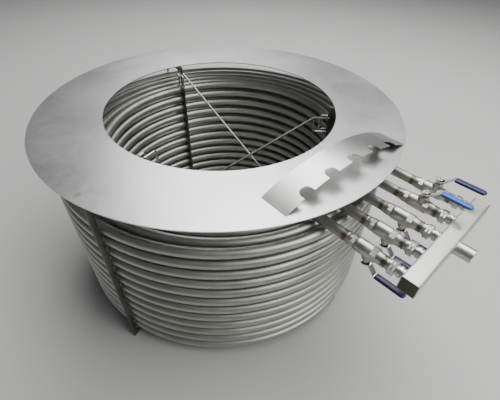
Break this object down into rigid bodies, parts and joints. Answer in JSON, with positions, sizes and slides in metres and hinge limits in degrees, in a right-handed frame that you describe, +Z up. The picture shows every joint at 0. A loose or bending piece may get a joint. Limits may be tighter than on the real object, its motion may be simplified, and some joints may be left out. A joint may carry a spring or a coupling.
{
  "type": "helical coil heat exchanger",
  "caption": "Nested helical tube coils on flat-bar frames under a flat ring plate, with valved branches to a square header and a loose arched cover strip",
  "frame": {"origin": "on the floor, on the common axis of the coils and the ring plate", "axes": "+Z up along the coil axis; the branches leave at 52 degrees clockwise from +X, seen from above"},
  "size_m": [1.2229, 1.2292, 0.6474],
  "materials": {
    "tube_steel": "satin, drawn tube",
    "sheet_steel": "matt mill finish",
    "valve_steel": "cast, blasted",
    "nut_steel": "machined",
    "header_steel": "satin with weld tint",
    "frame_steel": "hot rolled flat bar",
    "bright_rod": "bright",
    "blue_grip": "dipped vinyl sleeve"
  },
  "bodies": {
    "exchanger": {"ring_plate": "sheet_steel", "cover_strip": "sheet_steel", "coil_tube_1": "tube_steel", "coil_tube_2": "tube_steel", "coil_tube_3": "tube_steel", "coil_tube_4": "tube_steel", "coil_tube_5": "tube_steel", "branch_tube_1": "tube_steel", "branch_tube_2": "tube_steel", "branch_tube_3": "tube_steel", "branch_tube_4": "tube_steel", "branch_tube_5": "tube_steel", "lower_end_1": "tube_steel", "valve_body_1": "valve_steel", "valve_body_2": "valve_steel", "valve_body_3": "valve_steel", "valve_body_4": "valve_steel", "valve_body_5": "valve_steel", "union_1": "nut_steel", "union_2": "nut_steel", "union_3": "nut_steel", "union_4": "nut_steel", "union_5": "nut_steel", "header_box": "header_steel", "outlet_stub": "header_steel", "support_frame_1": "frame_steel", "support_frame_2": "frame_steel", "support_frame_3": "frame_steel", "well_clips_1": "bright_rod", "well_clips_2": "bright_rod", "well_clips_3": "bright_rod", "steep_tie_rod": "bright_rod", "level_tie_rod": "frame_steel"},
    "handle_1": {"lever_1": "bright_rod", "grip_1": "blue_grip"},
    "handle_2": {"lever_2": "bright_rod", "grip_2": "blue_grip"},
    "handle_3": {"lever_3": "bright_rod", "grip_3": "blue_grip"},
    "handle_4": {"lever_4": "bright_rod", "grip_4": "blue_grip"},
    "handle_5": {"lever_5": "bright_rod", "grip_5": "blue_grip"}
  },
  "joints": [
    {"name": "valve_1_turn", "type": "hinge", "parent": "exchanger", "child": "handle_1", "pos_m": [0.3166, -0.55466, 0.512], "axis": [0, 0, 1], "range_deg": [-90, 0]},
    {"name": "valve_2_turn", "type": "hinge", "parent": "exchanger", "child": "handle_2", "pos_m": [0.37885, -0.50603, 0.512], "axis": [0, 0, 1], "range_deg": [-30, 0]},
    {"name": "valve_3_turn", "type": "hinge", "parent": "exchanger", "child": "handle_3", "pos_m": [0.44111, -0.45739, 0.512], "axis": [0, 0, 1], "range_deg": [0, 90]},
    {"name": "valve_4_turn", "type": "hinge", "parent": "exchanger", "child": "handle_4", "pos_m": [0.50336, -0.40875, 0.512], "axis": [0, 0, 1], "range_deg": [-90, 0]},
    {"name": "valve_5_turn", "type": "hinge", "parent": "exchanger", "child": "handle_5", "pos_m": [0.56561, -0.36011, 0.512], "axis": [0, 0, 1], "range_deg": [0, 90]}
  ]
}
